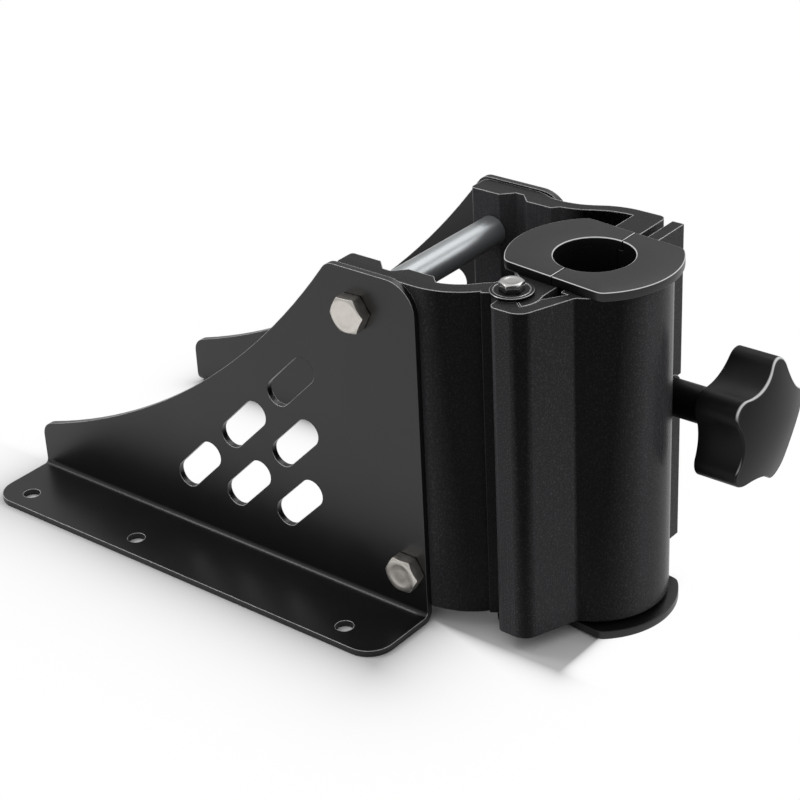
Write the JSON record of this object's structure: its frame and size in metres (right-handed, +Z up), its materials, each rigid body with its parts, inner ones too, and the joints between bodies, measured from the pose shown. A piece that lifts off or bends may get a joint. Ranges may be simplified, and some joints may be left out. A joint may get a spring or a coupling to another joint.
{
  "type": "trolling motor mount",
  "caption": "Black bracket mount whose hinged clamp and star knob hold a trolling motor's round shaft upright at the edge of a small boat's deck.",
  "frame": {"origin": "centre of the four outer deck holes, on the underside of the deck flanges", "axes": "+X outboard, towards the clamp; +Y across the brackets, away from the hinge; +Z up"},
  "size_m": [0.2984, 0.159, 0.1413],
  "materials": {
    "bracket_coat": "satin black powder coat, fine grain",
    "extrusion": "black anodised, fine bead-blasted grain",
    "bushing": "satin black nylon",
    "rod": "ground and polished",
    "bolt": "stainless, machined",
    "screw": "stainless, machined",
    "washer": "blackened, worn bright at the rim",
    "knob": "moulded, satin",
    "insert": "machined"
  },
  "bodies": {
    "frame": {"near_bracket": "bracket_coat", "far_bracket": "bracket_coat", "channel": "extrusion", "upper_cross_rod": "rod", "lower_cross_rod": "rod", "near_upper_bolt": "bolt", "near_lower_bolt": "bolt", "far_upper_bolt": "bolt", "far_lower_bolt": "bolt", "bushing_inner": "bushing", "clamp_stud": "bolt"},
    "door": {"clamp_door": "extrusion", "bushing_outer": "bushing", "hinge_washer_top": "washer", "hinge_bolt_top": "screw", "hinge_washer_bottom": "washer", "hinge_bolt_bottom": "screw"},
    "knob_seat": {"knob_washer": "washer"},
    "knob": {"knob": "knob", "knob_insert": "insert"}
  },
  "joints": [
    {"name": "knob_travel", "type": "slide", "parent": "frame", "child": "knob_seat", "axis": [1, 0, 0], "range_m": [0, 0.02701]},
    {"name": "knob_spin", "type": "hinge", "parent": "knob_seat", "child": "knob", "pos_m": [0.1558, 0.0392, 0.07135], "axis": [1, 0, 0], "range_deg": [0, 7776]},
    {"name": "door_hinge", "type": "hinge", "parent": "frame", "child": "door", "pos_m": [0.1357, -0.0313, 0.07135], "axis": [0, 0, 1], "range_deg": [-18.6, 0]}
  ],
  "couplings": [
    {"joint": "knob_travel", "follows": "knob_spin", "m_per_rad": 0.00019894},
    {"joint": "door_hinge", "follows": "knob_spin", "ratio": -0.00239}
  ]
}
